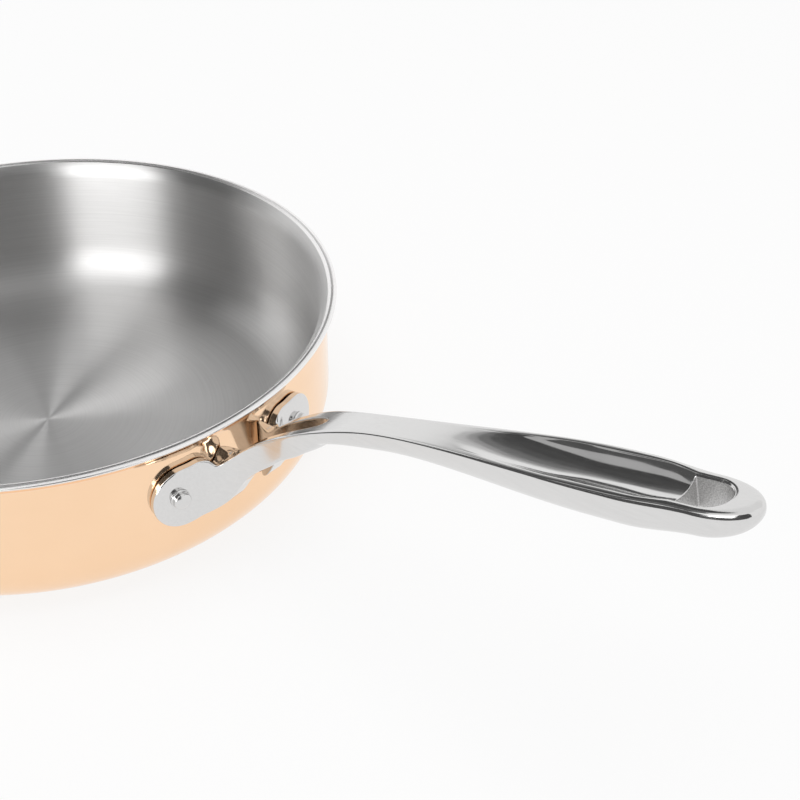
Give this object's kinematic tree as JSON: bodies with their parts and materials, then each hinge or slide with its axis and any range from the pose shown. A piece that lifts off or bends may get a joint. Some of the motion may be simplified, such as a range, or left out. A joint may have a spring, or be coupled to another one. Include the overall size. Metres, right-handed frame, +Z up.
{
  "type": "saute pan",
  "caption": "Straight-sided saute pan of bonded copper, aluminium and steel, with a flared rim and a long forked cast handle riveted to the wall. Open, without a lid.",
  "frame": {"origin": "middle of the flat base, on the worktop", "axes": "+X along the handle, away from the pan; +Z up; the handle's middle plane is y = 0"},
  "size_m": [0.4389, 0.246, 0.1238],
  "materials": {
    "copper": "polished copper",
    "aluminium": "plain rolled sheet",
    "brushed_lining": "stainless steel brushed round the axis",
    "polished_handle": "polished cast stainless steel",
    "rivet_steel": "polished stainless steel"
  },
  "bodies": {
    "root": {"copper_skin": "copper", "aluminium_core": "aluminium", "steel_lining": "brushed_lining", "handle": "polished_handle", "rivet_left": "rivet_steel", "rivet_right": "rivet_steel"}
  },
  "joints": []
}
